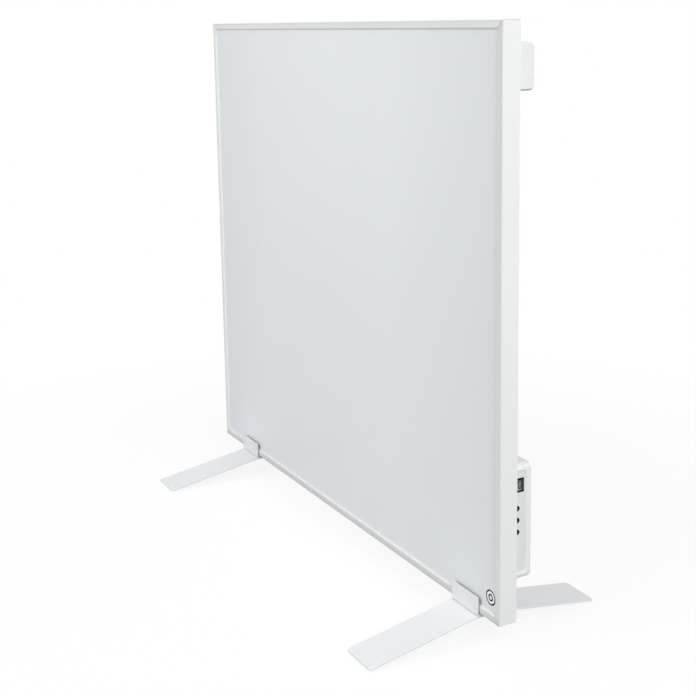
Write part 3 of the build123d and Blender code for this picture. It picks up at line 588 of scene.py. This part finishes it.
def makeMark(opts):
    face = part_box("front_panel")[0].y
    disc = face - opts["discProud"]
    ink = disc - opts["ringProud"]
    printLayer("markDisc", opts, [(0.0, opts["disc"])], face, disc,
               mouldedPlastic("markWhite", opts["white"]))
    printLayer("markRings", opts, opts["rings"], disc, ink,
               mouldedPlastic("markBlack", opts["black"]))


makeMark(markSet)
print("readout and printed mark made")

# The status light: a milky rod of clear plastic
lightSet = {"colour": (0.93, 0.94, 0.92), "haze": 1800, "hazeTint": 0.96, "milk": 0.2, "roughness": 0.25}


def milkyRod(opts):
    finish = Finish("statusRod")
    colour = finish.clouded(finish.noise(opts["haze"]), opts["colour"], opts["hazeTint"], 1.0, (0.3, 0.7))
    return finish.close(colour, roughness=opts["roughness"], subsurface=opts["milk"])


wear(milkyRod(lightSet), "status_light")

# Rubber: grey in the saddles, black at the pads, the grommet and the leads
rubberSet = {
    "liner": {"colour": (0.42, 0.43, 0.43), "grain": 2200, "depth": 0.00003, "roughness": 0.75},
    "pad": {"colour": (0.02, 0.02, 0.021), "grain": 1800, "depth": 0.00004, "roughness": 0.8},
}
bloomSet = {"clouds": 70, "pale": 1.25}


def rubber(name, opts):
    finish = Finish(name)
    grain = finish.noise(opts["grain"], detail=3.0, roughness=0.6)
    bloom = finish.noise(bloomSet["clouds"], detail=3.0)
    colour = finish.clouded(bloom, opts["colour"], 1.0, bloomSet["pale"], (0.4, 0.7))
    return finish.close(colour, roughness=opts["roughness"], normal=finish.bump(grain, opts["depth"]))


wear(rubber("linerRubber", rubberSet["liner"]), "saddle_liner_left", "saddle_liner_right")
wear(rubber("padRubber", rubberSet["pad"]), "foot_pad_left_front", "foot_pad_left_rear",
     "foot_pad_right_front", "foot_pad_right_rear", "lead_grommet", "film_lead_left", "film_lead_right")

# Metals: colour, scratches to the metre along each axis and their depth, roughness
metalSet = {
    "zinc": {"colour": (0.60, 0.61, 0.62), "scratches": (500, 500, 2600), "depth": 0.000006,
             "roughness": 0.30},
    "copper": {"colour": (0.80, 0.42, 0.26), "scratches": (2200, 900, 140), "depth": 0.000005,
               "roughness": 0.34},
    "aluminium": {"colour": (0.76, 0.77, 0.78), "scratches": (260, 260, 2600), "depth": 0.000008,
                  "roughness": 0.36},
}
stainSet = {"clouds": 45, "dark": 0.88, "smoother": 0.08, "rougher": 0.1}


def drawnMetal(name, opts):
    finish = Finish(name)
    scratches = finish.noise(1.0, detail=3.0, roughness=0.6, place=finish.stretched(opts["scratches"]))
    stain = finish.noise(stainSet["clouds"], detail=3.0)
    colour = finish.clouded(stain, opts["colour"], 1.0, stainSet["dark"], (0.35, 0.7))
    roughness = finish.rough(scratches, opts["roughness"], stainSet["smoother"], stainSet["rougher"])
    skin = finish.bump(scratches, opts["depth"])
    return finish.close(colour, metallic=1.0, roughness=roughness, normal=skin)


wear(drawnMetal("zincSteel", metalSet["zinc"]), "nut_plates", "foot_screws", "back_panel_screws",
     "box_base_screws", "box_cover_screws", "board_screws", "hanger_screws")
wear(drawnMetal("rolledCopper", metalSet["copper"]), "busbar_left", "busbar_right")
wear(drawnMetal("millAluminium", metalSet["aluminium"]), "corner_key_top_left", "corner_key_top_right",
     "corner_key_bottom_left", "corner_key_bottom_right")

# The reflector: bright foil, crinkled all over
foilSet = {
    "colour": (0.86, 0.87, 0.88),
    "dark": 0.94,
    "creases": 55,
    "fine": 330,
    "creaseShare": 0.7,
    "depth": 0.0006,
    "roughness": 0.22,
    "rougher": 0.15,
}


def crinkledFoil(opts):
    finish = Finish("crinkledFoil")
    creases = finish.cells(opts["creases"], "DISTANCE_TO_EDGE")
    fine = finish.noise(opts["fine"], detail=3.0)
    skin = finish.bump(creases * opts["creaseShare"] + fine * (1 - opts["creaseShare"]), opts["depth"])
    colour = finish.clouded(fine, opts["colour"], opts["dark"], 1.0, (0.3, 0.7))
    roughness = finish.rough(fine, opts["roughness"], 0.0, opts["rougher"])
    return finish.close(colour, metallic=1.0, roughness=roughness, normal=skin)


# The heating film: upright bands of printed carbon, with the sheet bare where the wave is low
filmSet = {
    "colour": (0.015, 0.015, 0.016),
    "sheet": (0.05, 0.045, 0.04),
    "stripe": 0.012,
    "bareBelow": -0.75,
    "grain": 2600,
    "depth": 0.00001,
    "roughness": 0.4,
    "smoother": 0.05,
    "rougher": 0.1,
}


def carbonFilm(opts):
    finish = Finish("carbonFilm")
    across = finish.axes()[0]
    wave = (across * (2 * pi / opts["stripe"])).sine()
    grain = finish.noise(opts["grain"])
    colour = finish.mix(wave > opts["bareBelow"], rgb(*opts["sheet"]), rgb(*opts["colour"]))
    roughness = finish.rough(grain, opts["roughness"], opts["smoother"], opts["rougher"])
    return finish.close(colour, roughness=roughness, normal=finish.bump(grain, opts["depth"]))


# The insulation: a board of matted mineral fibres
boardSet = {
    "colour": (0.72, 0.64, 0.42),
    "dark": 0.72,
    "fibres": (900, 260, 900),
    "swirl": 0.8,
    "clumps": 120,
    "fibreShare": 0.7,
    "depth": 0.0004,
    "roughness": 0.9,
}


def mineralBoard(opts):
    finish = Finish("mineralBoard")
    fibres = finish.noise(1.0, detail=6.0, roughness=0.7, distortion=opts["swirl"],
                          place=finish.stretched(opts["fibres"]))
    clumps = finish.noise(opts["clumps"], detail=3.0)
    pattern = fibres * opts["fibreShare"] + clumps * (1 - opts["fibreShare"])
    colour = finish.clouded(pattern, opts["colour"], opts["dark"], 1.0)
    return finish.close(colour, roughness=opts["roughness"], normal=finish.bump(fibres, opts["depth"]))


# Circuit boards: green lacquer over copper tracks, laid as bricks with gaps between them
circuitSet = {
    "lacquer": (0.02, 0.16, 0.06),
    "track": (0.04, 0.26, 0.10),
    "pitch": 0.0026,
    "trackLength": 3,
    "gapShare": 1 / 9,
    "gapBlur": 0.1,
    "depth": 0.00003,
    "grain": 1500,
    "roughness": 0.3,
    "smoother": 0.06,
    "rougher": 0.08,
}


def circuitLacquer(opts):
    finish = Finish("circuitLacquer")
    pitch = opts["pitch"]
    tracks = finish.add("ShaderNodeTexBrick", {"offset": 0.5}, {
        "Vector": finish.stretched((1, 1, 1), rotation=(pi / 2, 0, 0)), "Scale": 1.0,
        "Brick Width": pitch * opts["trackLength"], "Row Height": pitch,
        "Mortar Size": pitch * opts["gapShare"], "Mortar Smooth": opts["gapBlur"]}, "Fac")
    colour = finish.mix(tracks, rgb(*opts["lacquer"]), rgb(*opts["track"]))
    grain = finish.noise(opts["grain"])
    roughness = finish.rough(grain, opts["roughness"], opts["smoother"], opts["rougher"])
    return finish.close(colour, roughness=roughness, normal=finish.bump(tracks, opts["depth"]))


wear(crinkledFoil(foilSet), "reflector_foil")
wear(carbonFilm(filmSet), "heating_film")
wear(mineralBoard(boardSet), "insulation_board")
wear(circuitLacquer(circuitSet), "control_board", "power_board")
print("finishes of the inner parts done")
